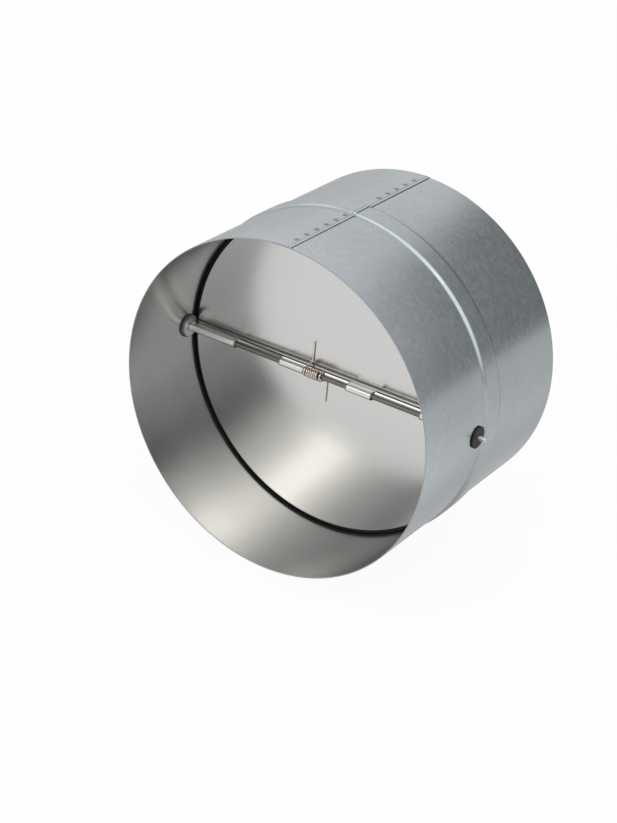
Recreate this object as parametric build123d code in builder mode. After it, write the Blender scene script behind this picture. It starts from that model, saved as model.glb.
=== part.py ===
"""Duct non-return valve: a sheet tube with two half-round flaps that a spring holds shut.

The origin is the centre of the downstream rim, the end that faces the viewer. +Y runs along the
duct to the upstream rim, +X along the axle to the right, +Z up through the lap seam. Air comes
from upstream and swings both flaps about the axle towards the downstream rim. All sizes are in mm.
"""
import os
from math import atan, atan2, cos, degrees, radians, sin, sqrt, tan

from build123d import *

# Casing, rolled from one sheet
spigot_radius = 99.4
sheet_thickness = 0.5
casing_length = 140.0

# Swaged bead, a flat-topped ridge that holds the seal. It starts just ahead of the seal's face.
bead_lead = 0.8
bead_width = 15.6
bead_height = 1.2
bead_flank = 1.6
bead_bend_radius = 1.0

# Lap seam: the free edge of the outer ply, the stretch over which that ply rises, and the lap
seam_edge_angle = 2.5
seam_rise_angle = 30.0
seam_rise_start = 0.05
seam_lap_width = 12.0

# Joining marks pressed along the seam
mark_pitch = 9.3
mark_edge_distance = 3.8
mark_radius = 2.0
mark_depth = 0.35
mark_end_distance = 11.2
marks_downstream = 6
marks_upstream = 5

# Axle and its bushes
axle_radius = 1.5
axle_y = 54.5
axle_stub = 5.2
grommet_fit = 0.05
grommet_wall = 2.9
grommet_outer_lip = 2.1
grommet_inner_lip = 2.7
grommet_outer_thickness = 1.0
grommet_inner_thickness = 0.8
grommet_edge_radius = 0.4
washer_fit = 0.1
washer_rim = 4.9
washer_thickness = 0.8

# Flaps, pressed from aluminium sheet
flap_wall_gap = 2.4
flap_thickness = 0.8
flap_offset = 6.6
flap_bend_radius = 0.6
knuckle_fit = 0.08
knuckle_wrap = 290.0
outer_knuckle_length = 33.0
inner_knuckle_length = 17.0
inner_knuckle_start = 14.5
relief_width = 0.6
relief_depth = 1.0

# Closing spring
wire_radius = 0.55
coil_gap = 0.55
coil_turns = 6
coil_pitch = 1.3
spring_leg_angle = 15.0
spring_leg_bend = 1.4
end_turn_angle = 300.0
upper_leg_height = 16.5
lower_leg_height = 18.5

# Seal ring
lip_overlap = 2.4
lip_thickness = 2.6
lip_edge_radius = 0.7
seal_band_thickness = 1.6

# Clearances
body_gap = 0.3
seat_gap = 0.1

# Places worked out from the sizes above
flap_front_y = axle_y + flap_offset
flap_back_y = flap_front_y + flap_thickness
seal_face_y = flap_back_y + body_gap
bead_start = seal_face_y - bead_lead
bead_end = bead_start + bead_width
wall_inner_radius = spigot_radius - sheet_thickness
flap_radius = wall_inner_radius - flap_wall_gap
lip_radius = flap_radius - lip_overlap
bead_slope = atan2(bead_height, bead_flank)
bead_inner_shift = sheet_thickness * tan(bead_slope / 2)
channel_radius = spigot_radius + bead_height - sheet_thickness
knuckle_bore_radius = axle_radius + knuckle_fit
knuckle_radius = knuckle_bore_radius + flap_thickness
coil_mean_radius = axle_radius + coil_gap + wire_radius
flange_front = coil_mean_radius + wire_radius
grommet_neck_radius = axle_radius + grommet_wall
grommet_outer_radius = grommet_neck_radius + grommet_outer_lip
grommet_inner_radius = grommet_neck_radius + grommet_inner_lip
washer_bore_radius = axle_radius + washer_fit
washer_radius = washer_bore_radius + washer_rim
grommet_inner_face = sqrt(wall_inner_radius**2 - grommet_inner_radius**2) - seat_gap
grommet_end = grommet_inner_face - grommet_inner_thickness
washer_end = grommet_end - seat_gap - washer_thickness
outer_knuckle_end = washer_end - body_gap
wire_diameter = 2 * wire_radius
upper_leg_x = -inner_knuckle_start + body_gap + wire_radius
coil_start_x = upper_leg_x + wire_diameter + body_gap
coil_length = coil_turns * coil_pitch
lower_leg_x = coil_start_x + coil_length + wire_diameter + body_gap
leg_y = flap_offset - seat_gap - wire_radius
axle_plane = Plane(origin=(0, axle_y, 0), x_dir=(0, 1, 0), z_dir=(1, 0, 0))


def wall_profile(plane, radius, inset, crest_bend, foot_bend):
    """Return the half section of the tube out to one face of the sheet, bead included."""
    start = bead_start + inset
    end = bead_end - inset
    crest = radius + bead_height
    with BuildSketch(plane) as profile:
        with BuildLine():
            run = FilletPolyline(
                (radius, 0),
                (radius, start),
                (crest, start + bead_flank),
                (crest, end - bead_flank),
                (radius, end),
                (radius, casing_length),
                radius=[foot_bend, crest_bend, crest_bend, foot_bend],
            )
            Polyline(run @ 1, (0, casing_length), (0, 0), run @ 0)
        make_face()
    return profile.sketch


# The outer ply turns about a line beside the duct axis. So it stands one sheet proud at its free
# edge and sinks almost to the wall at the far end of the rise. Under it the inner ply ends one lap
# width back from that edge, and from there on the outer ply alone is the wall.
rise = radians(seam_rise_angle)
rise_tangent = (seam_rise_start / sheet_thickness - cos(rise)) / sin(rise)
ply_shift = sheet_thickness * sqrt(1 + rise_tangent**2)
ply_direction = radians(seam_edge_angle) - atan(rise_tangent)
ply_centre = (ply_shift * sin(ply_direction), 0, ply_shift * cos(ply_direction))
ply_axis = Axis(ply_centre, (0, 1, 0))
lap_angle = degrees(seam_lap_width / spigot_radius)
mark_angle = seam_edge_angle - degrees(mark_edge_distance / spigot_radius)
ply_height = ply_shift * cos(radians(mark_angle) - ply_direction)
mark_ball_radius = (mark_radius**2 + mark_depth**2) / (2 * mark_depth)
mark_ball_centre = spigot_radius + ply_height - mark_depth + mark_ball_radius
mark_places = [mark_end_distance + mark_pitch * i for i in range(marks_downstream)]
mark_places += [casing_length - mark_end_distance - mark_pitch * i for i in range(marks_upstream)]


def ply_plane(angle):
    """Return the section plane of the outer ply at an angle from the top."""
    turn = radians(angle)
    return Plane(origin=ply_centre, x_dir=(sin(turn), 0, cos(turn)), z_dir=(-cos(turn), 0, sin(turn)))


with BuildPart() as casing:
    outer_bend = bead_bend_radius + sheet_thickness
    outer = (spigot_radius, 0, outer_bend, bead_bend_radius)
    inner = (wall_inner_radius, bead_inner_shift, bead_bend_radius, outer_bend)
    revolve(wall_profile(Plane.XY, *outer), Axis.Y)
    revolve(
        wall_profile(ply_plane(seam_edge_angle), *outer),
        axis=ply_axis,
        revolution_arc=-seam_rise_angle,
    )
    revolve(wall_profile(Plane.XY, *inner), axis=Axis.Y, mode=Mode.SUBTRACT)
    revolve(
        wall_profile(ply_plane(seam_edge_angle - lap_angle), *inner),
        axis=ply_axis,
        revolution_arc=lap_angle - seam_rise_angle,
        mode=Mode.SUBTRACT,
    )
    with BuildSketch(axle_plane):
        Circle(grommet_neck_radius + seat_gap)
    extrude(amount=2 * spigot_radius, both=True, mode=Mode.SUBTRACT)
    mark_x = mark_ball_centre * sin(radians(mark_angle))
    mark_z = mark_ball_centre * cos(radians(mark_angle))
    with Locations(*[(mark_x, y, mark_z) for y in mark_places]):
        Sphere(mark_ball_radius, mode=Mode.SUBTRACT)
casing.part.label = "casing"

# Seal ring: a band in the bead's channel with a lip that the flaps close against
with BuildPart() as seal_ring:
    band_radius = channel_radius - seat_gap
    band_start = bead_start + bead_inner_shift + bead_flank + seat_gap
    band_end = bead_end - bead_inner_shift - bead_flank - seat_gap
    with BuildSketch(Plane.XY):
        with BuildLine():
            Polyline(
                (lip_radius, seal_face_y),
                (wall_inner_radius - seat_gap, seal_face_y),
                (band_radius, band_start + bead_bend_radius),
                (band_radius, band_end - bead_bend_radius),
                (band_radius - seal_band_thickness, band_end - bead_bend_radius),
                (band_radius - seal_band_thickness, seal_face_y + lip_thickness),
                (lip_radius, seal_face_y + lip_thickness),
                close=True,
            )
        seal_section = make_face()
        fillet(seal_section.vertices().group_by(Axis.X)[0], lip_edge_radius)
    revolve(axis=Axis.Y)
seal_ring.part.label = "seal_ring"

# Axle
with BuildPart() as axle:
    axle_length = 2 * (spigot_radius + axle_stub)
    with BuildSketch(axle_plane.offset(-axle_length / 2)):
        Circle(axle_radius)
    extrude(amount=axle_length)
    chamfer(axle.faces().sort_by(Axis.X)[0].edges(), axle_radius / 5)
    chamfer(axle.faces().sort_by(Axis.X)[-1].edges(), axle_radius / 5)
axle.part.label = "axle"

# Grommet: two flanges with a neck through the wall between them
with BuildPart() as right_grommet:
    outer_face = spigot_radius + seat_gap
    with BuildSketch(axle_plane.offset(outer_face)):
        Circle(grommet_outer_radius)
    extrude(amount=grommet_outer_thickness)
    fillet(right_grommet.faces().sort_by(Axis.X)[-1].edges(), grommet_edge_radius)
    with BuildSketch(axle_plane.offset(grommet_end)):
        Circle(grommet_neck_radius)
    extrude(amount=outer_face - grommet_end)
    with BuildSketch(axle_plane.offset(grommet_end)):
        Circle(grommet_inner_radius)
    extrude(amount=grommet_inner_thickness)
    with BuildSketch(axle_plane.offset(grommet_end)):
        Circle(axle_radius + grommet_fit)
    extrude(amount=2 * axle_stub + grommet_inner_thickness, mode=Mode.SUBTRACT)
right_grommet.part.label = "right_grommet"

with BuildPart() as left_grommet:
    mirror(right_grommet.part, about=Plane.YZ)
left_grommet.part.label = "left_grommet"

# Washer between the grommet and the outer knuckle
with BuildPart() as right_washer:
    with BuildSketch(axle_plane.offset(washer_end)):
        Circle(washer_radius)
        Circle(washer_bore_radius, mode=Mode.SUBTRACT)
    extrude(amount=washer_thickness)
    chamfer(right_washer.edges().filter_by(GeomType.CIRCLE).sort_by(SortBy.RADIUS)[-2:], 0.2)
right_washer.part.label = "right_washer"

with BuildPart() as left_washer:
    mirror(right_washer.part, about=Plane.YZ)
left_washer.part.label = "left_washer"

# Flap: a half-round plate, a flange bent towards the axle and two knuckles rolled round it
with BuildPart() as upper_flap:
    flange_middle = knuckle_bore_radius + flap_thickness / 2
    plate_middle = flap_offset + flap_thickness / 2
    with BuildSketch(axle_plane.offset(-flap_radius)):
        with BuildLine():
            FilletPolyline(
                (flange_front, flange_middle),
                (plate_middle, flange_middle),
                (plate_middle, flap_radius),
                radius=flap_bend_radius + flap_thickness / 2,
            )
        trace(line_width=flap_thickness)
    extrude(amount=2 * flap_radius)
    with BuildSketch(Plane.XZ.offset(-axle_y)):
        Circle(flap_radius)
    extrude(amount=-2 * flap_offset, mode=Mode.INTERSECT)
    for start, length in (
        (-outer_knuckle_end, outer_knuckle_length),
        (inner_knuckle_start, inner_knuckle_length),
    ):
        with BuildSketch(axle_plane.offset(start)):
            Circle(knuckle_radius)
            Circle(knuckle_bore_radius, mode=Mode.SUBTRACT)
            open_end = radians(knuckle_wrap - 270)
            reach = 2 * knuckle_radius
            with BuildLine():
                Polyline(
                    (0, 0),
                    (reach * cos(open_end), reach * sin(open_end)),
                    (reach, reach),
                    (0, reach),
                    close=True,
                )
            make_face(mode=Mode.SUBTRACT)
            with Locations((0, knuckle_bore_radius)):
                Rectangle(flange_front, flap_thickness, align=(Align.MIN, Align.MIN))
        extrude(amount=length)
        with BuildSketch(Plane.XY.offset(knuckle_bore_radius)):
            with Locations(
                (start - relief_width / 2, axle_y + flange_front),
                (start + length + relief_width / 2, axle_y + flange_front),
            ):
                Rectangle(relief_width, relief_depth, align=(Align.CENTER, Align.MIN))
        extrude(amount=flap_thickness, mode=Mode.SUBTRACT)
upper_flap.part.label = "upper_flap"

with BuildPart() as lower_flap:
    add(upper_flap.part.rotate(Axis.Y, 180))
lower_flap.part.label = "lower_flap"

# Spring coil on the axle
with BuildPart() as closing_spring:
    with BuildLine() as coil_path:
        Helix(
            pitch=coil_pitch,
            height=coil_length,
            radius=coil_mean_radius,
            center=(coil_start_x, axle_y, 0),
            direction=(1, 0, 0),
        )
    with BuildSketch(Plane(origin=coil_path.line @ 0, z_dir=coil_path.line % 0)):
        Circle(wire_radius)
    sweep(is_frenet=True)
closing_spring.part.label = "closing_spring"


def make_spring_leg(x, height, side):
    """Carry the wire once round the axle, off it towards the flap and along the flap's face."""
    plane = axle_plane.offset(x)
    leave = radians(90 + spring_leg_angle)
    leave_point = (coil_mean_radius * cos(leave), side * coil_mean_radius * sin(leave))
    climb = (leg_y - leave_point[0]) * tan(radians(spring_leg_angle))
    knee = (leg_y, leave_point[1] + side * climb)
    with BuildPart() as leg:
        with BuildLine(plane) as path:
            CenterArc((0, 0), coil_mean_radius, side * (90 + spring_leg_angle), side * end_turn_angle)
            FilletPolyline(leave_point, knee, (leg_y, side * height), radius=spring_leg_bend)
        with BuildSketch(Plane(origin=path.line @ 0, z_dir=path.line % 0)):
            Circle(wire_radius)
        sweep()
    return leg


upper_spring_leg = make_spring_leg(upper_leg_x, upper_leg_height, 1)
upper_spring_leg.part.label = "upper_spring_leg"

lower_spring_leg = make_spring_leg(lower_leg_x, lower_leg_height, -1)
lower_spring_leg.part.label = "lower_spring_leg"

pieces = [
    casing,
    seal_ring,
    axle,
    left_grommet,
    right_grommet,
    left_washer,
    right_washer,
    upper_flap,
    lower_flap,
    closing_spring,
    upper_spring_leg,
    lower_spring_leg,
]
os.makedirs("parts", exist_ok=True)
for piece in pieces:
    export_step(piece.part, f"parts/{piece.part.label}.step")
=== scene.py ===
# %% [markdown]
# # A duct non-return valve
# A short sheet metal tube sits in a ventilation duct. Two half-round flaps hang on one axle
# across it, and a torsion spring in the middle presses them against a rubber ring. The packed
# model gives every piece its place, so the first step is to load it and to note its box before
# any piece is dressed.

import bmesh
import bpy
import numpy as np
from mathutils import Matrix, Vector


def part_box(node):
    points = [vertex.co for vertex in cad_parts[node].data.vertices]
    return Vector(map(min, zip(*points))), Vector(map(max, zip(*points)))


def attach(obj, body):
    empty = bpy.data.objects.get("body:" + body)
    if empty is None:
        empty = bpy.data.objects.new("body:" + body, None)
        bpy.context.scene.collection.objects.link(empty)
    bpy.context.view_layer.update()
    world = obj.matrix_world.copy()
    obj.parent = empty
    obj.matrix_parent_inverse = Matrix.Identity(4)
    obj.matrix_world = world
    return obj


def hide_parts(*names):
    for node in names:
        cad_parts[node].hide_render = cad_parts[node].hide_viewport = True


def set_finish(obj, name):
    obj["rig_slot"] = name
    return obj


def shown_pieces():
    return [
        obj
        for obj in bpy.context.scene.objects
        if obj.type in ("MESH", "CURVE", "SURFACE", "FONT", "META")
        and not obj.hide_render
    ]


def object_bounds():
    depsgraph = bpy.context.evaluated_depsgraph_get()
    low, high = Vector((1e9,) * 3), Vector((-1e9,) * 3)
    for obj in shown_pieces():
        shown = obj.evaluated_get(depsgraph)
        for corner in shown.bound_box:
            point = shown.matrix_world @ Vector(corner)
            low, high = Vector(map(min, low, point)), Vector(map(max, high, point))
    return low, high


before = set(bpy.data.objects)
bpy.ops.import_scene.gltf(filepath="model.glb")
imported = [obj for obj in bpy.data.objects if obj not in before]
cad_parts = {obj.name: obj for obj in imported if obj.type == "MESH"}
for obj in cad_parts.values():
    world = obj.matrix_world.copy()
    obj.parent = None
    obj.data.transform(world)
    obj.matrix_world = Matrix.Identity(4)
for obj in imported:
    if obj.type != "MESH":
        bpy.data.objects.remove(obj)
model_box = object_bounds()
print("nodes:", sorted(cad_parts))

# %% [markdown]
# ## Sizes
# The model is in metres and the workshop thinks in millimetres, so every size below is written as
# a number of millimetres times `mm`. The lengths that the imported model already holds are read
# from it, and the rest are the sheet sizes that such a valve is made with.

# %% Sizes that several pieces share
mm = 0.001
casing_low, casing_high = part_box("casing")
axle_low, axle_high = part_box("axle")
flap_low, flap_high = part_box("upper_flap")
seal_low, seal_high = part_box("seal_ring")

casing_length = casing_high[1] - casing_low[1]
axle_y = (axle_low[1] + axle_high[1]) / 2
axle_radius = (axle_high[2] - axle_low[2]) / 2
axle_half_length = axle_high[0]
flap_radius = flap_high[2]
wall_radius = 99.4 * mm
sheet = 0.5 * mm
wall_inner = wall_radius - sheet
print(f"casing {casing_length / mm:.1f} mm long, flaps of radius {flap_radius / mm:.1f} mm")

# %% [markdown]
# ## From a grid of points to a mesh
# Most pieces here are one surface that two numbers run over: along and around. The points are
# worked out as one array, and the faces only join neighbours in the grid. Where a row shrinks to
# a point, as at a rod's end, doubles are merged so that the surface closes.


# %% Grid faces and the piece itself
def grid_faces(rows, columns, ring=False):
    """Four-sided faces between neighbouring rows and columns of a grid.

    A face's corners are a point, the next one in its row and the two below them in the next row. A
    ring joins the last column to the first.
    """
    index = np.arange(rows * columns).reshape(rows, columns)
    if ring:
        index = np.hstack([index, index[:, :1]])
    corners = index[:-1, :-1], index[:-1, 1:], index[1:, 1:], index[1:, :-1]
    return np.stack(corners, -1).reshape(-1, 4)


merge_distance = 0.0005 * mm


def make_piece(name, points, faces, attributes=(), crease=38):
    """A mesh object at the origin, with points in metres and faces by index.

    Points that no face uses are left out, points nearer than the merge distance become one, and
    folds sharper than crease, in degrees, stay sharp.
    """
    used, corners = np.unique(faces, return_inverse=True)
    mesh = bpy.data.meshes.new(name)
    mesh.from_pydata(points.reshape(-1, 3)[used], [], corners.reshape(faces.shape))
    for label, values in dict(attributes).items():
        layer = mesh.attributes.new(label, "FLOAT_VECTOR", "POINT")
        layer.data.foreach_set("vector", values.reshape(-1, 3)[used].astype(np.float32).ravel())
    work = bmesh.new()
    work.from_mesh(mesh)
    bmesh.ops.remove_doubles(work, verts=work.verts, dist=merge_distance)
    work.to_mesh(mesh)
    work.free()
    mesh.shade_smooth()
    mesh.set_sharp_from_angle(angle=np.radians(crease))
    piece = bpy.data.objects.new(name, mesh)
    bpy.context.scene.collection.objects.link(piece)
    print(f"{name}: {len(mesh.polygons)} faces")
    return piece


def seat(piece, body, slot, *nodes):
    """Let a piece move with its body, take its slot's finish and stand for its nodes."""
    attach(piece, body)
    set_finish(piece, slot)
    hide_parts(*nodes)


print("a grid of 3 by 4 points has", len(grid_faces(3, 4)), "faces")

# %% [markdown]
# ## Stations along a line
# A grid has to be fine only where the shape turns quickly. So the stations along each direction
# come from one coarse step over the whole length and a fine step close to each place that needs
# it.


# %% Coarse and fine stations
def stations(start, end, coarse, places=(), reach=0.0, fine=1.0):
    """Sorted numbers from start to end: coarse steps, and fine ones within reach of each place."""
    near = [np.arange(place - reach, place + reach + fine / 2, fine) for place in places]
    marks = np.concatenate([np.arange(start, end, coarse), [end], *near])
    marks = np.unique(marks[(marks >= start) & (marks <= end)])
    least = 0.45 * fine
    return marks[np.append(True, np.diff(marks) > least)]


def merged(*lists, least):
    """The stations of several lists as one, without steps shorter than least."""
    marks = np.unique(np.concatenate(lists))
    keep = np.append(True, np.diff(marks) > least)
    keep[-1] = True
    return marks[keep]


print("stations near 3 on a line of 10:", stations(0, 10, 5, places=(3,), reach=1, fine=0.5))

# %% [markdown]
# ## The casing
# The real casing is one strip of galvanised sheet. It is rolled round until its ends overlap,
# joined along the lap by a row of pressed marks, and a ridge, the bead, is swaged outwards all
# round it to hold the seal. Modelled as a tube it would have no lap. Here it stays one strip: an
# angle runs from the hidden inner end, once round, to the free edge at the top, and the radius
# grows by one sheet over the last stretch so that the strip climbs over its own start. Solidify
# then gives it the sheet's thickness, as the rolling mill did.

# %% Bead and lap sizes
bead_start = 61.4 * mm
bead_width = 15.6 * mm
bead_height = 1.2 * mm
bead_flank = 1.6 * mm
bead_bend = 0.42 * mm

lap_edge = np.radians(2.5)
lap_rise = np.radians(30)
lap_width = 12 * mm
lap_start = lap_edge - lap_width / wall_radius
lap_share = 0.985
lap_softness = 1.2

mark_inset = 3.8 * mm
mark_angle = lap_edge - mark_inset / wall_radius
mark_radius = 2.0 * mm
mark_depth = 0.35 * mm
mark_pitch = 9.3 * mm
mark_end = 11.2 * mm
mark_rows = np.concatenate(
    [mark_end + mark_pitch * np.arange(6), casing_length - mark_end - mark_pitch * np.arange(5)]
)
hole_radius = 4.5 * mm
print(f"{len(mark_rows)} marks along a lap that is {lap_width / mm:.0f} mm wide")


# %% The strip as a surface
def ramp_sum(distance):
    """Area under a ramp that climbs from 0 to 1 over the width of a flank and then stays at 1.

    It is half the square of the distance on the flank over the flank's width, and past the flank
    the distance beyond it is added.
    """
    inside = distance.clip(0, bead_flank)
    return inside**2 / (2 * bead_flank) + (distance - bead_flank).clip(0)


def bead_lift(along):
    """Height of the ridge: the bead's height times a ramp up less a ramp down.

    Each ramp is averaged over the width of a bend, so that its two folds turn round.
    """

    def ramp(start):
        ahead = ramp_sum(along - start + bead_bend)
        behind = ramp_sum(along - start - bead_bend)
        return (ahead - behind) / (2 * bead_bend)

    return bead_height * (ramp(bead_start) - ramp(bead_start + bead_width - bead_flank))


def lap_lift(angle):
    """Climb of the outer ply: nothing before the rise, nearly one sheet at the free edge.

    Between them the share of the rise is raised to a power above 1, which gives it a soft start.
    """
    climb = (angle - (2 * np.pi + lap_edge - lap_rise)) / lap_rise
    return lap_share * sheet * climb.clip(0, 1) ** lap_softness


def mark_dip(angle, along):
    """1 in the middle of a pressed mark and 0 from its rim on.

    Between them it is 1 less the square of the distance over the square of the mark's radius.
    """
    side = (angle - 2 * np.pi - mark_angle) * wall_radius
    reach = np.abs(along[..., None] - mark_rows).min(-1)
    return (1 - (side**2 + reach**2) / mark_radius**2).clip(0, 1)


def cylinder_points(angle, radius, along):
    """Points of a turned surface: the radius times the angle's sine and cosine, and the place.

    The angle runs from the top towards the right, seen from the front.
    """
    return np.stack([radius * np.sin(angle), along + 0 * angle, radius * np.cos(angle)], -1)


bead_middle = np.array([bead_start + bead_width / 2])
print(f"the bead's middle is lifted by {bead_lift(bead_middle)[0] / mm:.2f} mm")

# %% Stations of the casing
first_turn, last_turn = np.degrees(lap_start), 360 + np.degrees(lap_edge)
hole_turns, turn_step = (90, 270), 1.8
seam_start, mark_turn, seam_step = 358.6, 360.31, 1.0
turn_marks = merged(
    np.radians(stations(first_turn, last_turn, turn_step, hole_turns, reach=3.4, fine=0.42)),
    np.radians(stations(seam_start, last_turn, seam_step, (mark_turn,), reach=1.4, fine=0.2)),
    least=0.0015,
)
bead_edges = bead_start + bead_flank / 2, bead_start + bead_width - bead_flank / 2
row_step = 9 * mm
row_marks = merged(
    stations(0, casing_length, row_step, mark_rows, reach=2.1 * mm, fine=0.42 * mm),
    stations(0, casing_length, row_step, bead_edges, reach=1.6 * mm, fine=0.2 * mm),
    stations(0, casing_length, row_step, (axle_y,), reach=5.4 * mm, fine=0.72 * mm),
    least=0.12 * mm,
)
print(f"casing grid: {len(row_marks)} rows of {len(turn_marks)} points")

# %% [markdown]
# ## Round holes in a square grid
# A grid alone would cut the axle's holes as stairs. So the grid's points that lie close to a
# hole's rim are pulled onto it, along the line from the hole's middle, and the cells whose middle
# is inside a hole are left out.

# %% Axle holes in the grid
turn, along = np.meshgrid(turn_marks, row_marks)
rim_reach = 0.34 * mm
for side_turn in (np.pi / 2, 3 * np.pi / 2):
    distance = np.hypot((turn - side_turn) * wall_radius, along - axle_y)
    near_rim = np.abs(distance - hole_radius) < rim_reach
    pull = np.where(near_rim, hole_radius / distance.clip(rim_reach), 1)
    turn = side_turn + (turn - side_turn) * pull
    along = axle_y + (along - axle_y) * pull
faces = grid_faces(*turn.shape)
middle_turn = turn.ravel()[faces].mean(1)
middle_along = along.ravel()[faces].mean(1)
side_offset = np.abs(np.abs(middle_turn - np.pi) - np.pi / 2) * wall_radius
open_cells = np.hypot(side_offset, middle_along - axle_y) < hole_radius
print(f"axle holes: {open_cells.sum()} of {len(faces)} cells left out")


# %% Casing shell
def dress_sheet(piece, thickness, offset, edge, segments, angle):
    """Solidify gives a surface its thickness, then Bevel rounds the edges sharper than an angle."""
    thicken = piece.modifiers.new("sheet thickness", "SOLIDIFY")
    thicken.thickness = thickness
    thicken.offset = offset
    thicken.use_even_offset = True
    soften = piece.modifiers.new("cut edges", "BEVEL")
    soften.width = edge
    soften.segments = segments
    soften.limit_method = "ANGLE"
    soften.angle_limit = np.radians(angle)
    soften.harden_normals = True


dip = mark_dip(turn, along)
radius = wall_radius + bead_lift(along) + lap_lift(turn) - mark_depth * dip
casing_points = cylinder_points(turn, radius, along)
flat_places = np.stack([turn * wall_radius, along, dip], -1)
casing_shell = make_piece("casing_shell", casing_points, faces[~open_cells], {"flat": flat_places})
dress_sheet(casing_shell, sheet, offset=-1, edge=0.06 * mm, segments=1, angle=60)
seat(casing_shell, "housing", "galvanised_sheet", "casing")

# %% [markdown]
# ## Rounded outlines
# Rubber and pressed parts have no sharp corners. An outline is written by its corners alone, and
# each corner is then replaced by an arc that touches both its sides. Between the two touching
# points the arc is a blend of the two spokes from its centre, weighted by sines, which keeps
# their length.


# %% Arcs at the corners of an outline
def unit(vectors):
    """Each vector divided by its length."""
    return vectors / np.linalg.norm(vectors, axis=-1, keepdims=True)


def rounded(corners, radii, steps=6, closed=True):
    """The outline with an arc at each corner. An open one keeps its two ends as they are.

    An arc's centre lies on the line that halves its corner, at the radius over the sine of half the
    corner's angle, and it touches the sides at the radius over that half angle's tangent.
    """
    corners = np.array(corners, float)
    inner = corners if closed else corners[1:-1]
    before = unit((np.roll(corners, 1, 0) if closed else corners[:-2])[: len(inner)] - inner)
    after = unit((np.roll(corners, -1, 0) if closed else corners[2:]) - inner)
    half = np.arccos((before * after).sum(-1, keepdims=True)) / 2
    size = np.broadcast_to(radii, len(inner)).reshape(-1, 1)
    centre = inner + unit(before + after) * size / np.sin(half)
    first = inner + before * size / np.tan(half) - centre
    last = inner + after * size / np.tan(half) - centre
    swing = (np.pi - 2 * half)[:, None]
    share = np.linspace(0, 1, steps)[None, :, None]
    spokes = np.sin((1 - share) * swing) * first[:, None] + np.sin(share * swing) * last[:, None]
    arcs = (centre[:, None] + spokes / np.sin(swing)).reshape(-1, 2)
    return arcs if closed else np.vstack([corners[:1], arcs, corners[-1:]])


rounded_square = rounded([(0, 0), (1, 0), (1, 1), (0, 1)], 0.1)
print("a rounded square has", len(rounded_square), "points")

# %% [markdown]
# ## The seal ring
# The seal is a moulded rubber ring. Its band sits in the bead's channel and a thin lip stands
# inwards, which the flaps close against. A section carried once round the duct axis is exactly
# how such a ring is moulded, so it is made as one: the outline's points times the ring's angle.


# %% Sections carried round an axis
def ring_surface(section, segments):
    """A closed section of (radius, along) pairs carried once round the duct axis.

    Each ring of points has one pair's radius and place, and every angle in even steps.
    """
    angle = np.linspace(0, 2 * np.pi, segments, endpoint=False)[None, :]
    points = cylinder_points(angle, section[:, :1], section[:, 1:])
    return np.concatenate([points, points[:1]]), grid_faces(len(section) + 1, segments, ring=True)


seal_gap = 0.1 * mm
lip_radius = 94.1 * mm
lip_thickness = 2.6 * mm
band_outer = wall_inner + bead_height - seal_gap
band_thickness = 1.6 * mm
band_inner = band_outer - band_thickness
band_end = seal_high[1]
band_start = 64.3 * mm
seal_face = seal_low[1]
seal_corners = [
    (lip_radius, seal_face),
    (wall_inner - seal_gap, seal_face),
    (band_outer, band_start),
    (band_outer, band_end),
    (band_inner, band_end),
    (band_inner, seal_face + lip_thickness),
    (lip_radius, seal_face + lip_thickness),
]
seal_rounding = np.array([1.0, 0.3, 0.5, 0.4, 0.4, 0.6, 1.0]) * mm
seal_section = rounded(seal_corners, seal_rounding)
seal_ring_rubber = make_piece("seal_ring_rubber", *ring_surface(seal_section[::-1], segments=240))
seat(seal_ring_rubber, "housing", "seal_rubber", "seal_ring")

# %% [markdown]
# ## Axle, grommets and washers
# These are turned or moulded about the axle's own line. The rod is cut from drawn bar and
# chamfered at both ends. A rubber grommet fills each hole in the wall: two flanges with a neck
# through the sheet. A washer keeps the rolled knuckle off the grommet. One function turns a
# section of (place, radius) pairs about the axle, and the left pieces are the right ones with the
# places negated and the order of points reversed, so that they don't turn inside out.


# %% Turned pieces on the axle
def turned(section, segments=72, closed=True):
    """A section of (place along the axle, radius) pairs carried once round the axle.

    Each ring of points is the radius times the cosine and sine of every angle in even steps.
    """
    section = np.vstack([section, section[:1]]) if closed else section
    angle = np.linspace(0, 2 * np.pi, segments, endpoint=False)[None, :]
    place, radius = section[:, :1], section[:, 1:]
    ahead, up = axle_y + radius * np.cos(angle), radius * np.sin(angle)
    points = np.stack([place + 0 * angle, ahead, up], -1)
    return points, grid_faces(len(section), segments, ring=True)


axle_chamfer = 0.3 * mm
axle_end = np.array(
    [
        (axle_half_length, 0),
        (axle_half_length, axle_radius - axle_chamfer),
        (axle_half_length - axle_chamfer, axle_radius),
    ]
)
axle_section = np.vstack([axle_end, axle_end[::-1] * (-1, 1)])
axle_rod = make_piece("axle_rod", *turned(axle_section, segments=64, closed=False))
seat(axle_rod, "housing", "axle_steel", "axle")

# %% Grommet and washer sections
grommet_low, grommet_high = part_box("right_grommet")
grommet_bore = axle_radius + 0.05 * mm
grommet_neck = axle_radius + 2.9 * mm
inner_flange = grommet_high[2]
outer_flange = grommet_neck + 2.1 * mm
grommet_in = grommet_low[0]
grommet_out = grommet_high[0]
neck_start = grommet_in + 0.8 * mm
neck_end = grommet_out - 1.0 * mm
grommet_corners = [
    (grommet_in, grommet_bore),
    (grommet_in, inner_flange),
    (neck_start, inner_flange),
    (neck_start, grommet_neck),
    (neck_end, grommet_neck),
    (neck_end, outer_flange),
    (grommet_out, outer_flange),
    (grommet_out, grommet_bore),
]
grommet_rounding = np.array([0.15, 0.3, 0.2, 0.2, 0.2, 0.2, 0.5, 0.3]) * mm
grommet_section = rounded(grommet_corners, grommet_rounding)

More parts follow.
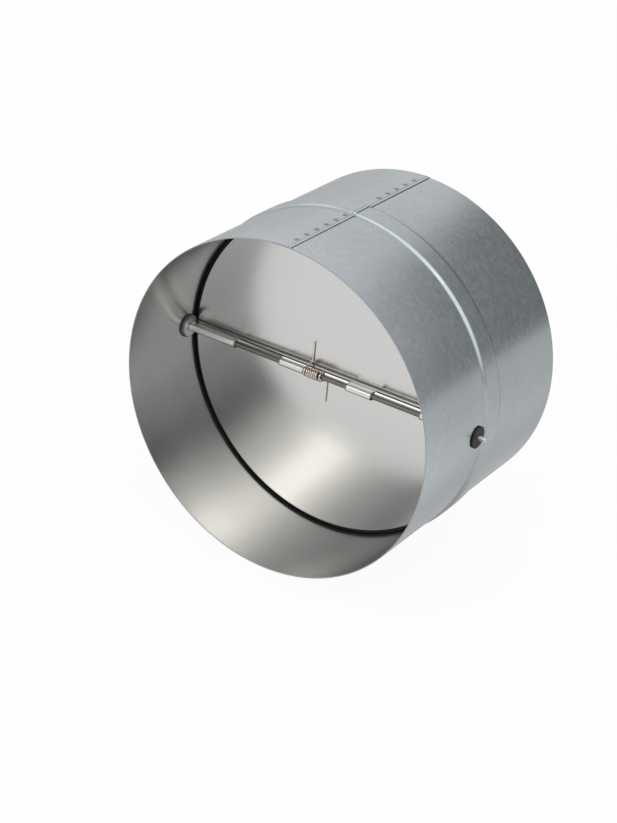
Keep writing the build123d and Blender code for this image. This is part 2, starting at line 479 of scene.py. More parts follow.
washer_low, washer_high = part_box("right_washer")
washer_bore = axle_radius + 0.1 * mm
washer_corners = [
    (washer_low[0], washer_bore),
    (washer_low[0], washer_high[2]),
    (washer_high[0], washer_high[2]),
    (washer_high[0], washer_bore),
]
washer_rounding = np.array([0.15, 0.3, 0.25, 0.15]) * mm
washer_section = rounded(washer_corners, washer_rounding)

# %% Grommets and washers on both sides
for side, mirror in (("right", 1), ("left", -1)):
    for part, section, slot in (
        ("grommet", grommet_section, "grommet_rubber"),
        ("washer", washer_section, "washer_steel"),
    ):
        order = section[::-mirror] * (mirror, 1)
        piece = make_piece(f"{side}_{part}_ring", *turned(order))
        seat(piece, "housing", slot, f"{side}_{part}")

# %% [markdown]
# ## The flaps
# Each flap is one pressing from thin aluminium sheet: a half-round plate, a narrow flange bent
# towards the axle along its straight side, and two strips of that flange rolled round the axle as
# knuckles. It is made as the sheet's middle surface. One line of stations follows the section
# from the flange's front edge, round the bend and up the plate, the other runs across the flap,
# and the plate's height at each station is the circle's. Two notches beside each knuckle are left
# out of the grid, as the press tool cuts them.

# %% Flap sizes
flap_sheet = 0.8 * mm
flap_bend = 1.0 * mm
knuckle_gap = 0.08 * mm
knuckle_middle = axle_radius + knuckle_gap + flap_sheet / 2
plate_front = 6.6 * mm
plate_place = plate_front + flap_sheet / 2
flange_front = 3.15 * mm
knuckle_wrap = np.radians(290)
knuckle_spans = np.array([(flap_low[0], flap_low[0] + 33.0 * mm), (14.5 * mm, 31.5 * mm)])
notch_width = 0.6 * mm
notch_depth = 1.0 * mm
plate_rows, plate_columns = 36, 131
tongue_rows, curl_rows = 4, 44
same_place = 1e-9
print("knuckles, in mm from the middle:", (knuckle_spans / mm).round(1).tolist())


# %% Section and columns of a flap
def flap_section():
    """Flange and bend as (ahead, up) pairs from the axle's line, ending where the plate starts."""
    corners = [
        (flange_front, knuckle_middle),
        (plate_place, knuckle_middle),
        (plate_place, knuckle_middle + 2 * flap_bend),
    ]
    bend = rounded(corners, flap_bend, steps=8, closed=False)[1:-1]
    flat = np.array([flange_front, flange_front + notch_depth, (flange_front + plate_place) / 2])
    return np.vstack([np.stack([flat, 0 * flat + knuckle_middle], -1), bend])


def flap_columns(half_width):
    """Places across the flap: the ends of knuckles and notches, and steps between them.

    The steps are the flap's radius times the sine of an angle that grows evenly, so they are finer
    towards the ends, where the circle is steep.
    """
    angle = np.linspace(-1, 1, plate_columns) * np.arcsin(half_width / flap_radius)
    starts, ends = knuckle_spans.T
    edges = np.concatenate([starts, ends, starts - notch_width, ends + notch_width])
    edges = edges[np.abs(edges) < half_width]
    places = flap_radius * np.sin(angle)
    least = 0.4 * mm
    clear = np.abs(places[:, None] - edges).min(1) > least
    return np.unique(np.concatenate([places[clear], edges]))


half_chord = np.sqrt(flap_radius**2 - flap_section()[-1, 1] ** 2)
print(f"the plate is {2 * half_chord / mm:.1f} mm wide at its foot")


# %% Flap sheet
def knuckle_strip(columns, span):
    """The tongue from the flange to the axle's top and the curl round it, at a span's columns.

    The curl's points are the knuckle's middle radius times the cosine and sine of its angle.
    """
    inside = columns[(columns > span[0] - same_place) & (columns < span[1] + same_place)]
    across = np.unique(np.concatenate([inside, span]).round(9))
    tongue = np.linspace(flange_front, 0, tongue_rows)[:-1]
    curl = np.pi / 2 + np.linspace(0, knuckle_wrap, curl_rows)
    ahead = np.concatenate([tongue, knuckle_middle * np.cos(curl)])
    up = np.concatenate([0 * tongue + knuckle_middle, knuckle_middle * np.sin(curl)])
    points = np.stack(np.broadcast_arrays(across[None, :], ahead[:, None], up[:, None]), -1)
    return points, grid_faces(*points.shape[:2])[:, ::-1]


def flap_sheet_surface():
    """Plate, bend and flange on one grid, with the knuckle strips joined to its front row.

    The plate's rows share out the height from its foot to the circle, which is the root of the
    radius squared less the place across squared.
    """
    section = flap_section()
    plate_foot = section[-1, 1]
    columns = flap_columns(half_chord).round(9)
    rise = np.linspace(0, 1, plate_rows)[1:, None]
    top = np.sqrt((flap_radius**2 - columns**2).clip(0))
    plate_up = plate_foot + (np.maximum(top, plate_foot) - plate_foot) * rise
    up = np.vstack([np.repeat(section[:, 1:], len(columns), 1), plate_up])
    ahead = np.vstack([np.repeat(section[:, :1], len(columns), 1), 0 * plate_up + plate_place])
    points = np.stack(np.broadcast_arrays(columns[None, :], ahead, up), -1)
    faces = grid_faces(*up.shape)
    middle = points.reshape(-1, 3)[faces].mean(1)
    starts, ends = knuckle_spans.T
    notches = np.concatenate([starts - notch_width / 2, ends + notch_width / 2])
    beside = [np.abs(middle[:, 0] - notch) < notch_width / 2 for notch in notches]
    cut = np.any(beside, 0) & (middle[:, 1] < flange_front + notch_depth)
    parts = [(points.reshape(-1, 3), faces[~cut])]
    for span in knuckle_spans:
        strip, strip_faces = knuckle_strip(columns, span)
        parts.append((strip.reshape(-1, 3), strip_faces))
    return joined(parts)


def joined(parts):
    """Several (points, faces) pairs as one, each part's faces counted on past the points before."""
    points, faces = zip(*parts)
    starts = np.cumsum([0] + [len(some) for some in points])
    return np.vstack(points), np.vstack([some + start for some, start in zip(faces, starts)])


# %% Both flaps
flap_points, flap_faces = flap_sheet_surface()
for name, turn_sign in (("upper", 1), ("lower", -1)):
    placed = flap_points * (turn_sign, 1, turn_sign) + (0, axle_y, 0)
    flap = make_piece(f"{name}_flap_sheet", placed, flap_faces, crease=60)
    dress_sheet(flap, flap_sheet, offset=0, edge=0.12 * mm, segments=2, angle=50)
    seat(flap, f"{name}_leaf", "flap_aluminium", f"{name}_flap")

# %% [markdown]
# ## The closing spring
# The spring is one drawn wire: six close turns on the axle, and at each end one more turn that
# leaves the axle and lies on a flap. A round wire is a circle carried along a path. At each point
# of the path the circle stands square to the wire, held by a direction that is known there, the
# spoke from the axle for the coil and the axle's own direction for the flat legs.


# %% Wire along a path
end_size = 0.72
end_shift = 0.25


def wire(path, hold, radius, sides=18):
    """A tube about a path: the path's points plus a circle square to it, spanned by two directions.

    One is the holding direction less its share along the path, the other is square to both. At the
    ends the circle shrinks in two steps to a point, which rounds and closes them.
    """
    tangent = unit(np.gradient(path, axis=0))
    side = unit(hold - (hold * tangent).sum(-1, keepdims=True) * tangent)
    rows = np.concatenate([[0, 0, 0], np.arange(1, len(path) - 1), [-1, -1, -1]])
    size = np.ones(len(rows))
    size[[0, -1]] = 0
    size[[1, -2]] = end_size
    shift = np.zeros(len(rows))
    shift[2], shift[-3] = end_shift, -end_shift
    centre = path[rows] + tangent[rows] * (shift * radius)[:, None]
    angle = np.linspace(0, 2 * np.pi, sides, endpoint=False)[None, :, None]
    spokes = np.cos(angle) * side[rows, None] + np.sin(angle) * np.cross(tangent, side)[rows, None]
    points = centre[:, None] + spokes * (size * radius)[:, None, None]
    return points, grid_faces(len(rows), sides, ring=True)


def even_steps(path, step):
    """The same line with points a step apart, placed by their length along it."""
    length = np.append(0, np.cumsum(np.linalg.norm(np.diff(path, axis=0), axis=1)))
    places = np.linspace(0, length[-1], int(length[-1] / step) + 1)
    return np.stack([np.interp(places, length, axis) for axis in path.T], -1)


short_line = even_steps(np.array([(0, 0), (3, 4)]), 1.0)
print("a line of length 5 in steps of 1 has", len(short_line), "points")

# %% Coil
wire_radius = 0.55 * mm
coil_play = 0.55 * mm
coil_radius = axle_radius + coil_play + wire_radius
coil_turns = 6
coil_pitch = 1.3 * mm
steps_a_turn = 60
coil_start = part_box("closing_spring")[0][0] + wire_radius
coil_turn = np.linspace(0, coil_turns, coil_turns * steps_a_turn + 1)
coil_angle = np.pi / 2 + 2 * np.pi * coil_turn
coil_spokes = np.stack([0 * coil_angle, np.cos(coil_angle), np.sin(coil_angle)], -1)
coil_path = coil_spokes * coil_radius + (0, axle_y, 0)
coil_path[:, 0] = coil_start + coil_pitch * coil_turn
spring_coil = make_piece("spring_coil", *wire(coil_path, coil_spokes, wire_radius))
seat(spring_coil, "housing", "spring_wire", "closing_spring")


# %% End turns and legs
leg_leaves = np.radians(105)
leg_wrap = np.radians(300)
leg_slope = np.tan(leg_leaves - np.pi / 2)
leg_gap = 0.1 * mm
leg_bend = 1.4 * mm
leg_step, leg_turn_steps = 0.25 * mm, 80
leg_heights = (("upper", 1, 16.5 * mm), ("lower", -1, 18.5 * mm))


def leg_path(side, height):
    """Most of a turn round the axle, a straight run off it, a bend, and the stretch along the flap.

    The run goes on in the direction in which the turn ends, so it climbs by the tangent of that
    direction's angle until it is a wire's radius and a gap in front of the plate.
    """
    turn = leg_leaves + np.linspace(leg_wrap, 0, leg_turn_steps)
    arc = coil_radius * np.stack([np.cos(turn), np.sin(turn)], -1)
    lie = plate_front - leg_gap - wire_radius
    knee = (lie, arc[-1, 1] + (lie - arc[-1, 0]) * leg_slope)
    run = rounded([arc[-1], knee, (lie, height)], leg_bend, steps=12, closed=False)
    path = np.vstack([arc[:-1], run]) * (1, side)
    return even_steps(path, leg_step)


for name, side, height in leg_heights:
    low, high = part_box(f"{name}_spring_leg")
    flat_path = leg_path(side, height)
    centre_line = np.column_stack([np.full(len(flat_path), (low[0] + high[0]) / 2), flat_path])
    centre_line[:, 1] += axle_y
    leg = make_piece(f"{name}_leg_wire", *wire(centre_line, np.array([[1.0, 0, 0]]), wire_radius))
    seat(leg, f"{name}_leaf", "spring_wire", f"{name}_spring_leg")

# %% [markdown]
# ## Writing shader sums as Python
# A finish is a sum over patterns: base colour plus a little grain minus some wear. Wiring each
# sum by hand hides the idea, so a small class wraps a socket and lets + - * / and ** stand for
# Math nodes, with mirrored forms so that 1 - mask works too. Every other node comes from one
# method.


# %% Signals
def math_operator(operation, mirrored=False):
    """A method that adds one Math node of a signal and another value, which may come first."""
    places = (1, 0) if mirrored else (0, 1)

    def method(self, other):
        return self.finish.node("Math", {"operation": operation}, dict(zip(places, (self, other))))

    return method


class Signal:
    """One output socket. Sums on it add Math nodes to its finish."""

    def __init__(self, finish, socket):
        self.finish, self.socket = finish, socket

    def math(self, operation, *others):
        """A Math node of this signal and the others."""
        values = dict(enumerate((self, *others)))
        return self.finish.node("Math", {"operation": operation}, values)

    __add__ = __radd__ = math_operator("ADD")
    __mul__ = __rmul__ = math_operator("MULTIPLY")
    __sub__, __rsub__ = math_operator("SUBTRACT"), math_operator("SUBTRACT", mirrored=True)
    __truediv__, __rtruediv__ = math_operator("DIVIDE"), math_operator("DIVIDE", mirrored=True)
    __pow__, __rpow__ = math_operator("POWER"), math_operator("POWER", mirrored=True)

    def __abs__(self):
        return self.math("ABSOLUTE")

    def step(self, start, end):
        """0 before start, 1 past end and a soft curve between. Start may be the larger."""
        settings = {"interpolation_type": "SMOOTHSTEP"}
        values = {"Value": self, "From Min": start, "From Max": end}
        return self.finish.node("MapRange", settings, values)

    def near(self, value, far, close):
        """1 where the distance from a value is below close, 0 past far and a soft curve between."""
        return abs(self - value).step(far, close)

    def parts(self):
        """The three numbers of a vector."""
        split = self.finish.node("SeparateXYZ", {}, {0: self}).socket.node
        return [Signal(self.finish, socket) for socket in split.outputs]

    def stretched(self, *scale):
        """A vector times one number for each direction."""
        return self.finish.node("VectorMath", {"operation": "MULTIPLY"}, {0: self, 1: scale})


# %% Finishes
class Finish:
    """A material whose nodes are made by name, settings and inputs."""

    def __init__(self, name, tree=None):
        if tree is None:
            self.material = bpy.data.materials.new(name)
            self.material.use_nodes = True
            tree = self.material.node_tree
        self.tree = tree
        tree.nodes.clear()

    def node(self, kind, settings, inputs, output=0):
        """A shader node: its options first, then the values or links of its sockets."""
        node = self.tree.nodes.new("ShaderNode" + kind)
        for option, value in settings.items():
            setattr(node, option, value)
        for place, value in inputs.items():
            if isinstance(value, Signal):
                self.tree.links.new(value.socket, node.inputs[place])
            else:
                node.inputs[place].default_value = value
        return Signal(self, node.outputs[output])

    def place(self):
        """Coordinates of the piece itself, in metres."""
        return self.node("TexCoord", {}, {}, "Object")

    def noise(self, vector, scale, detail=3.0, roughness=0.55):
        """Cloudy noise from 0 to 1, with scale blobs to the metre."""
        values = {"Vector": vector, "Scale": scale, "Detail": detail, "Roughness": roughness}
        return self.node("TexNoise", {}, values)

    def mix(self, first, second, share):
        """One colour turning into another by a share from 0 to 1."""
        settings = {"data_type": "RGBA", "clamp_factor": True}
        return self.node("Mix", settings, {0: share, 6: first, 7: second}, 2)

    def tinted(self, colour, brightness):
        """A colour, of three numbers or a signal, made lighter or darker by a signal about 1."""
        settings = {"operation": "SCALE"}
        return self.node("VectorMath", settings, {0: colour, "Scale": brightness})

    def bumped(self, height, distance, strength=1.0):
        """Normals tilted by a height from 0 to 1 that stands for distance in metres."""
        values = {"Height": height, "Distance": distance, "Strength": strength}
        return self.node("Bump", {}, values)

    def surface(self, colour, tone, roughness, normal, constants):
        """The shader: colour times tone, roughness and normal vary, and the constants are named."""
        varied = {"Base Color": self.tinted(colour, tone), "Roughness": roughness, "Normal": normal}
        shader = self.node("BsdfPrincipled", {}, {**varied, **constants})
        self.node_output("OutputMaterial", shader)
        print(f"{self.material.name}: {len(self.tree.nodes)} nodes")
        return self.material

    def node_output(self, kind, shader):
        """The end of the tree."""
        output = self.tree.nodes.new("ShaderNode" + kind)
        self.tree.links.new(shader.socket, output.inputs[0])


def grey(level):
    """A neutral colour."""
    return (level, level, level, 1.0)


bare_metal = {"Metallic": 1.0}
finishes = {}

# %% [markdown]
# ## Galvanised sheet
# The zinc on a rolled casing has a faint cell pattern, fine lines from the mill, a few cloudy
# patches, and dull cut edges. All of it follows the strip, so the finish reads the strip's own
# flat coordinates, metres along and across, and goes round the tube without a break. A mask on
# the distance from the duct axis tells outside from inside: the inside is smoother, and the one
# sheet gets two tints, lighter and warmer inside and bluer outside, which is painted light. The
# inside is also a little brighter along the bottom. The pressed marks are painted dark in their
# middles, a painted shade in their hollows. Only the outside gets a painted shade along the
# crease behind the bead, painted light towards the front rim, and along the lap's free edge a
# painted highlight with a painted shadow beside it, both broken up by noise that changes along
# the edge alone. In each sum the number before a pattern is its strength, as a share of the full
# tone, and 0.5 is a noise's own middle.


# %% Galvanised finish
def galvanised():
    """Zinc-coated sheet: its tone is a sum over patterns on the strip's flat coordinates."""
    finish = Finish("galvanised sheet")
    flat = finish.node("Attribute", {"attribute_name": "flat"}, {}, "Vector")
    length, across, mark = flat.parts()
    x, y, z = finish.place().parts()
    distance = (x * x + z * z) ** 0.5
    outside = distance.step(wall_radius - 0.35 * mm, wall_radius - 0.15 * mm)

    plane = flat.stretched(1, 1, 0)
    cells = finish.node("TexVoronoi", {}, {"Vector": plane, "Scale": 420.0}, "Color")
    cell_tone = cells.parts()[0]
    lines = finish.noise(flat.stretched(14, 1400, 0), 1.0, 2.0)
    fine = finish.noise(plane, 1500.0, 4.0, 0.7)
    clouds = finish.noise(flat.stretched(1, 1.6, 0), 16.0, 3.0)
    half = casing_length / 2
    cut_edge = 1 - across.near(half, half, half - 0.5 * mm)

    grain = 0.35 + 0.65 * outside
    pattern = 0.08 * cell_tone + 0.08 * (fine - 0.5)
    tone = 0.94 + grain * pattern + 0.05 * (lines - 0.5) + 0.14 * (clouds - 0.5)
    # The crease mask darkens the fold behind the bead: a painted shade.
    crease = across.near(bead_start + bead_width, 2.0 * mm, 0.5 * mm)
    from_edge = (2 * np.pi + lap_edge) * wall_radius - length
    # Along the lap's free edge: a painted highlight on the ply's cut edge and a painted shadow
    # beside it, broken up by noise along the edge.
    edge_breakup = finish.noise(flat.stretched(0, 1, 0), 380.0, 2.0)
    painted_edge_highlight = from_edge.near(0.5 * mm, 0.6 * mm, 0.3 * mm)
    shadow = from_edge.near(1.6 * mm, 0.6 * mm, 0.3 * mm)
    # Lighter towards the front rim: painted light.
    front = across.step(45 * mm, 0)
    painted_light_and_shade = 0.09 * front - 0.26 * crease + edge_breakup * (0.25 * painted_edge_highlight - 0.55 * shadow)
    bottom = z.step(-50 * mm, -85 * mm) * (1 - outside)
    # The pressed marks are darkened in their middles: a painted shade in their hollows.
    tone = tone + 0.07 * bottom - 0.60 * mark - 0.10 * cut_edge + outside * painted_light_and_shade
    # Two tints of the one sheet, lighter and warmer inside, bluer outside: painted light.
    colour = finish.mix((0.447, 0.451, 0.443, 1), (0.400, 0.432, 0.450, 1), outside)
    rough = 0.24 - 0.04 * outside + 0.05 * (clouds - 0.5) + 0.05 * grain * cell_tone
    rough = rough + 0.12 * mark + 0.2 * cut_edge
    height = grain * (0.5 * fine + 0.3 * lines + 0.2 * cell_tone)
    return finish.surface(colour, tone, rough, finish.bumped(height, 0.006 * mm, 0.35), bare_metal)


finishes["galvanised_sheet"] = galvanised()

# %% [markdown]
# ## Aluminium flaps
# Mill-finish aluminium shows straight rolling lines, here across the flap, and a few greasy
# smudges from handling. It is warmer and brighter than the zinc. The lines are noise that is
# stretched a hundredfold along one direction. The rolled knuckles get a painted highlight, the
# left one most, and a painted shade underneath. Thin painted shade also lies at their ends, along
# the flange's front edge and in its bend, where gaps and corners are shaded, and the lower plate
# is painted a little darker towards its edge, a painted shade. The lower plate bows back by a few
# degrees in the photograph and reflects accordingly. The model keeps it flat, so a wide, smooth
# bump height with that slope stands for the bow.


# %% Aluminium finish
bow_start = -5 * mm
bow_bend = 35 * mm
bow_slope = np.tan(np.radians(4.5))


def aluminium():
    """Rolled aluminium: lines along the axle, painted shade in its corners, and the bow as a
    height.

    The bow's height is a hyperbola over the depth below its start: flat at first, and its slope
    turns to the full one over the length of its bend.
    """
    finish = Finish("rolled aluminium")
    place = finish.place()
    lines = finish.noise(place.stretched(9, 900, 900), 1.0, 3.0)
    smudge = finish.noise(place, 26.0, 4.0, 0.6)
    x, y, z = place.parts()
    depth = (bow_start - z).math("MAXIMUM", 0)
    bow = (bow_bend - (depth * depth + bow_bend**2) ** 0.5) * bow_slope
    ahead = y - axle_y
    distance = (ahead * ahead + z * z) ** 0.5
    knuckle = distance.step(3.2 * mm, 2.9 * mm)
    # Thin lines in the flange's front gap, in its bend and at the knuckles' ends are darkened:
    # painted shade.
    front_line = ahead.near(flange_front + 0.1 * mm, 0.45 * mm, 0.2 * mm) * (1 - knuckle)
    low = abs(z).step(3.6 * mm, 3.0 * mm)
    bend_line = ahead.near(plate_place - 0.7 * mm, 0.8 * mm, 0.35 * mm) * low
    end_places = np.abs(knuckle_spans).ravel()[1:]
    ends = [abs(x).near(end, 0.9 * mm, 0.3 * mm) for end in end_places]
    end_line = (ends[0] + ends[1] + ends[2]) * knuckle
    painted_shade_lines = (front_line + bend_line + end_line).math("MINIMUM", 1.0)
    # The knuckles are darkened underneath, a painted shade, and lightened, the left one most, a
    # painted highlight.
    under = z.step(-0.6 * mm, -1.8 * mm) * knuckle
    painted_knuckle_highlight = knuckle * (0.20 + 0.28 * x.step(-50 * mm, -65 * mm))
    # The lower plate is darkened towards its edge: a painted shade.
    painted_low_shade = z.step(-38 * mm, -60 * mm)
    tone = 0.97 + 0.03 * (lines - 0.5) + 0.05 * (smudge - 0.5) - 0.07 * painted_low_shade
    tone = tone + painted_knuckle_highlight - 0.72 * painted_shade_lines - 0.75 * under
    rough = 0.23 + 0.06 * (smudge - 0.5) + 0.03 * (lines - 0.5) + 0.14 * knuckle + 0.2 * painted_shade_lines
    normal = finish.bumped(0.0004 * mm * lines + bow, 1.0)
    return finish.surface((0.655, 0.652, 0.640), tone, rough, normal, bare_metal)


finishes["flap_aluminium"] = aluminium()

# %% [markdown]
# ## Rubber
# Both rubbers are almost black and dull, with a moulded skin of fine grain and a trace of dust in
# the hollows. The grommets are a shade lighter because they catch the light on their rounded
# rims, and their inner flanges are a lighter grey still.


# %% Rubber finish
def rubber(name, level, roughness, inner_grey=0.0):
    """Moulded rubber: fine skin grain, faint flow marks and dust.

    Inside the casing its colour turns to a lighter grey by the share inner_grey.
    """
    finish = Finish(name)
    place = finish.place()
    grain = finish.noise(place, 2600.0, 3.0, 0.65)
    flow = finish.noise(place, 90.0, 3.0)
    dust = finish.noise(place, 700.0, 5.0, 0.75).step(0.56, 0.78)
    x, y, z = place.parts()
    inner = abs(x).step(wall_inner, wall_inner - 0.3 * mm)
    colour = finish.mix(grey(level), grey(level * 2.6), 0.35 * dust)
    colour = finish.mix(colour, grey(0.16), inner_grey * inner)
    tone = 0.85 + 0.3 * flow
    rough = roughness + 0.12 * (flow - 0.5) + 0.1 * dust
    normal = finish.bumped(grain, 0.02 * mm, 0.5)
    return finish.surface(colour, tone, rough, normal, {"Specular IOR Level": 0.35})


finishes["seal_rubber"] = rubber("seal rubber", 0.007, 0.62)
finishes["grommet_rubber"] = rubber("grommet rubber", 0.013, 0.60, inner_grey=0.8)

# %% [markdown]
# ## Drawn and stamped steel
# The axle is drawn bar with scratches along its length. It is dark and brown inside the duct, a
# painted shade for the flanges that hang over it, and bright at the ends that stand out of it.
# The washers are zinc-plated and darker at the rim. The spring wire keeps a coppery drawing coat
# on the coil and is plain along the legs. The three share one recipe: two colours that a mask
# parts, stretched scratches and a cloudy tone.


# %% One recipe for steel
def steel(name, colours, mask, roughness, stretch, wear):
    """Plated or drawn steel: two colours parted by a mask, under scratches and a cloudy tone."""
    finish = Finish(name)
    place = finish.place()
    scratches = finish.noise(place.stretched(*stretch), 1.0, 3.0, 0.6)
    cloud = finish.noise(place, 160.0, 3.0)
    colour = finish.mix(*((*rgb, 1.0) for rgb in colours), mask(*place.parts()))
    tone = 1.0 + wear * (scratches - 0.5) + 0.5 * wear * (cloud - 0.5)
    rough = roughness + 0.12 * (cloud - 0.5)
    return finish.surface(colour, tone, rough, finish.bumped(scratches, 0.01 * mm, 0.3), bare_metal)


# %% Axle, washers and spring wire
def bright_end(x, y, z):
    """1 on the bright ends outside the casing, 0 on the length inside, which is painted in shade.
    """
    return abs(x).step(wall_inner, wall_radius)


def free_wire(x, y, z):
    """1 on the legs, past the coil's own turns, 0 on the coil."""
    return abs(z).step(3.0 * mm, 4.0 * mm)


# The washer's rim is coloured darker.
def darker_rim(x, y, z):
    """1 on a washer's rim, 0 near its bore."""
    return (((y - axle_y) ** 2 + z * z) ** 0.5).step(5.6 * mm, 6.4 * mm)


# The first colour is the axle inside the duct, darkened as a painted shade of the flanges over it.
rod_in_shade, drawn = (0.19, 0.178, 0.165), (0.62, 0.62, 0.61)
plated, rim = (0.52, 0.52, 0.51), (0.34, 0.34, 0.33)
coppered, plain = (0.74, 0.64, 0.56), (0.88, 0.85, 0.81)
drawn_lines, washer_grain, wire_grain = (60, 2600, 2600), (500, 500, 500), (900, 900, 900)
for slot, *recipe in (
    ("axle_steel", "drawn bar", (rod_in_shade, drawn), bright_end, 0.46, drawn_lines, 0.16),
    ("washer_steel", "plated washer", (plated, rim), darker_rim, 0.36, washer_grain, 0.14),
    ("spring_wire", "coppered wire", (coppered, plain), free_wire, 0.38, wire_grain, 0.22),
):
    finishes[slot] = steel(*recipe)

# %% Finishes on the pieces
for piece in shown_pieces():
    piece.data.materials.clear()
    piece.data.materials.append(finishes[piece["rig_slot"]])

# %% [markdown]
# ## The camera
# The photograph was taken from the front, right of the duct and above it, with the camera turned
# a few degrees about its own line of sight. The place and the aim are points in the model's
# frame, so its axes follow from them and that last turn.

# %% Camera
camera_place = Vector((510.65, -776.37, 504.52)) * mm
camera_aim = Vector((-19.45, 70.0, -34.77)) * mm
camera_turn = np.radians(5.176)
camera_data = bpy.data.cameras.new("camera")
camera_data.sensor_width = 36.0
camera_data.lens = 84.6
camera_data.clip_start = 0.05
camera = bpy.data.objects.new("camera", camera_data)
bpy.context.scene.collection.objects.link(camera)
sight = (camera_aim - camera_place).normalized()
level = sight.cross(Vector((0, 0, 1))).normalized()
right = level * np.cos(camera_turn) + level.cross(sight) * np.sin(camera_turn)
axes = Matrix((right, right.cross(sight), -sight)).transposed()
camera.matrix_world = Matrix.Translation(camera_place) @ axes.to_4x4()
bpy.context.scene.camera = camera
print("camera looks along", [round(value, 3) for value in sight])

# %% [markdown]
# ## Floor and surroundings
# The valve stands on a white sweep, so the floor and the world are white wherever the camera
# looks at them. Part of the floor stays an ordinary matt surface, which keeps the valve's shadow
# on it. In a reflection the floor is a little greyer towards the back, and greyer still behind
# the front rim and left of the valve's right side, a painted shadow of the valve. It is darkest
# in a round, bluish patch to the right of the valve's front, which gives the metal something dark
# to mirror.


# %% Kinds of ray
def seen_directly(finish):
    """Two masks: 1 for rays from the camera, and 1 for rays from a reflection or through glass."""
    names = "Is Camera Ray", "Is Glossy Ray", "Is Transmission Ray"
    eye, mirror, through = (finish.node("LightPath", {}, {}, name) for name in names)
    return eye, mirror.math("MAXIMUM", through)


# %% World: white for the eye, a softer light for the rest
world = bpy.data.worlds.new("studio")
world.use_nodes = True
bpy.context.scene.world = world
sky = Finish("studio", world.node_tree)
bright = sky.node("Background", {}, {"Color": grey(1.0)})
soft = sky.node("Background", {}, {"Color": (0.97, 0.985, 1.0, 1), "Strength": 0.9})
eye, mirror = seen_directly(sky)
backdrop = sky.node("MixShader", {}, {0: eye.math("MAXIMUM", mirror), 1: soft, 2: bright})
sky.node_output("OutputWorld", backdrop)
print("world:", len(world.node_tree.nodes), "nodes")

# %% Floor
square = np.array([(-1, -1), (1, -1), (1, 1), (-1, 1)])
floor_reach = 6.0
floor_height = model_box[0][2]
floor_points = np.column_stack([square * floor_reach, np.full(4, floor_height)])
floor = make_piece("floor", floor_points, np.array([[0, 1, 2, 3]]))
patch_right, patch_front = 0.42, 0.38
patch_rim, patch_core = 0.36, 0.10
paper = Finish("white sweep")
matt = paper.node("BsdfDiffuse", {}, {"Color": grey(0.80)})
eye, mirror = seen_directly(paper)
x, y, z = paper.place().parts()
from_patch = ((x - patch_right) ** 2 + (y + patch_front) ** 2) ** 0.5
patch = from_patch.step(patch_rim, patch_core)
paper_tone = (0.98 - 0.18 * y.step(0.10, 0.40)) * (1 - 0.8 * patch)
# Behind the front rim and left of the valve's right side, the floor is darker in reflections: a
# painted shadow of the valve.
back_left = x.step(0.18, 0.10) * y.step(-0.03, 0.03)
brightness = paper_tone * mirror * (1 - 0.30 * back_left) + eye
tint = paper.mix(grey(1.0), (0.84, 0.93, 1.0, 1), patch * mirror)
glow = paper.node("Emission", {}, {"Color": paper.tinted(tint, brightness)})
blend = paper.node("MixShader", {}, {0: 0.94 * eye + 0.75 * mirror, 1: matt, 2: glow})
paper.node_output("OutputMaterial", blend)
floor.data.materials.append(paper.material)

# %% [markdown]
# ## Lights and cards
# Bright metal shows its surroundings more than its own colour, so a photographer shapes it with
# what stands round it. Four soft lamps do the lighting: right, overhead, left and front top. A
# grey surround with a paler top gives the reflections a horizon. Three cards, seen in reflections
# only, shape what the lamps leave: a grey one behind the right side for the outer wall's grey
# band, a dark one beside the camera for the soft dark patch on the lower flap, and a bright warm
# one over the front for the flap's bright spot. The cards fade out at their edges, so no
# reflection has a hard line.


# %% Directions round the valve
def direction(azimuth, elevation):
    """A unit vector: azimuth 0 points to the front and 90 to the right, elevation 90 straight up.

    The azimuth's sine and negated cosine, times the elevation's cosine, and the elevation's sine.
    """
    turn, lift = np.radians((azimuth, elevation))
    return Vector((np.sin(turn) * np.cos(lift), -np.cos(turn) * np.cos(lift), np.sin(lift)))


valve_middle = Vector((0, casing_length / 2, 0))


def facing_middle(item, azimuth, elevation, distance):
    """Put an item at a distance from the valve's middle and turn its front to it."""
    out = direction(azimuth, elevation)
    item.location = valve_middle + out * distance
    item.rotation_euler = out.to_track_quat("Z", "Y").to_euler()
    bpy.context.scene.collection.objects.link(item)
    print(f"{item.name}: {distance} m away at {azimuth} degrees")


# %% Lamps
def softbox(name, azimuth, elevation, distance, size, radiance, colour=(1, 1, 1)):
    """A rectangular lamp that is as bright as radiance where it is seen in a reflection.

    Its power is that brightness times pi times its area.
    """
    data = bpy.data.lights.new(name, "AREA")
    data.shape = "RECTANGLE"
    data.size, data.size_y = size
    data.energy = radiance * np.pi * size[0] * size[1]
    data.color = colour
    facing_middle(bpy.data.objects.new(name, data), azimuth, elevation, distance)


warm = (1.0, 0.97, 0.91)
softbox("right light", 70, 33, 1.6, (0.9, 1.6), radiance=0.75)
softbox("overhead light", 10, 70, 1.6, (1.7, 1.3), radiance=0.70)
softbox("left light", -80, 46, 1.6, (0.7, 0.6), radiance=0.48)
softbox("front top light", -1, 44, 1.2, (0.42, 0.50), radiance=2.5, colour=warm)


# %% Grey surround
def for_reflections(item):
    """Let an item be seen in reflections alone: not by the camera, as light or as a shadow."""
    item.visible_camera = item.visible_diffuse = item.visible_shadow = False


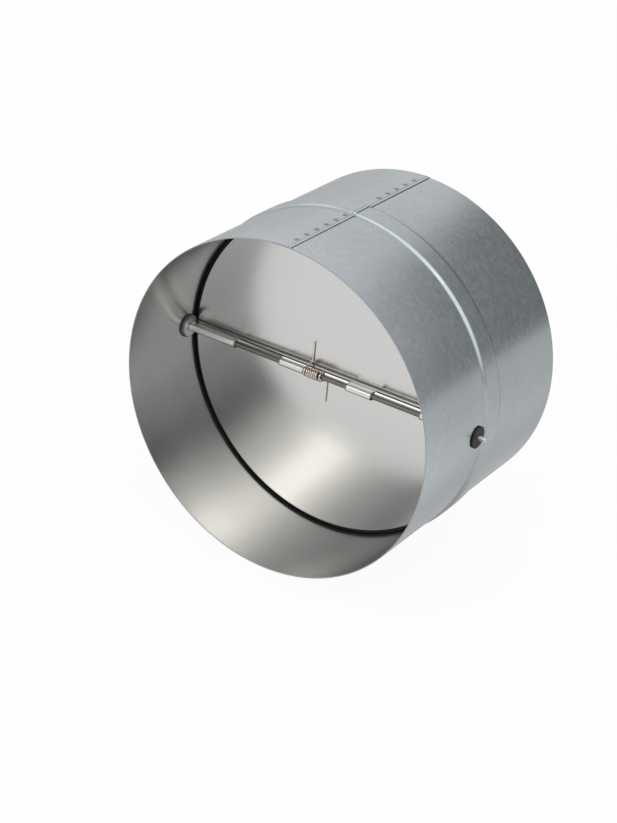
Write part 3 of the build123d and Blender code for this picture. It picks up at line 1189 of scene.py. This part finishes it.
surround_radius = 3.0
surround_rows, surround_columns = 3, 96
surround_turn = np.linspace(0, 2 * np.pi, surround_columns, endpoint=False)[None, :]
circle = surround_radius * np.sin(surround_turn), -surround_radius * np.cos(surround_turn)
height = np.linspace(0, 0.9 * surround_radius, surround_rows)[:, None] + floor_height
surround_points = np.stack(np.broadcast_arrays(*circle, height), -1)
surround_faces = grid_faces(surround_rows, surround_columns, ring=True)
surround = make_piece("grey_surround", surround_points, surround_faces)
paint = Finish("grey surround")
x, y, z = paint.place().parts()
to_back, to_left = 0.643, 0.766
back_left = (to_back * y - to_left * x) / surround_radius
share = (z / surround_radius).step(0.05, 0.65) + 0.5 * back_left.step(0.45, 0.9)
shade = paint.mix((0.50, 0.51, 0.52, 1), grey(1.0), share)
paint.node_output("OutputMaterial", paint.node("Emission", {}, {"Color": shade}))
surround.data.materials.append(paint.material)
for_reflections(surround)


# %% Soft cards
card_foot = 0.015


def soft_card(name, azimuth, distance, height, size, edge, colour):
    """An upright card for reflections, full inside an ellipse and clear from its own size on.

    The ellipse is edge times the size. A place is measured as the root of its two squares, each
    over its own size, and no card reaches lower than its foot.
    """
    corners = square * size
    corners[:, 1] = corners[:, 1].clip(card_foot - height, None)
    mesh = bpy.data.meshes.new(name)
    mesh.from_pydata(np.column_stack([corners, np.zeros(4)]), [], [(0, 1, 2, 3)])
    card = bpy.data.objects.new(name, mesh)
    facing_middle(card, azimuth, 0, distance)
    card.location.z = height
    board = Finish(name)
    x, y, z = board.place().parts()
    reach = ((x / size[0]) ** 2 + (y / size[1]) ** 2) ** 0.5
    clear = board.node("BsdfTransparent", {}, {})
    glow = board.node("Emission", {}, {"Color": (*colour, 1)})
    veil = board.node("MixShader", {}, {0: reach.step(1, edge), 1: clear, 2: glow})
    board.node_output("OutputMaterial", veil)
    mesh.materials.append(board.material)
    for_reflections(card)


card_grey, card_dark, card_glow = (0.28, 0.288, 0.297), (0.055, 0.058, 0.064), (3.3, 3.20, 3.00)
soft_card("right back card", 165.6, 0.69, 0.135, (0.50, 0.60), edge=0.55, colour=card_grey)
soft_card("camera side card", 45, 0.9, 0.32, (0.22, 0.28), edge=0.50, colour=card_dark)
soft_card("front top glow", -1, 0.85, 0.87, (0.78, 0.68), edge=0.0, colour=card_glow)

# %% [markdown]
# Dressing must not change the valve's size.

# %% View transform
bpy.context.scene.view_settings.view_transform = "Standard"
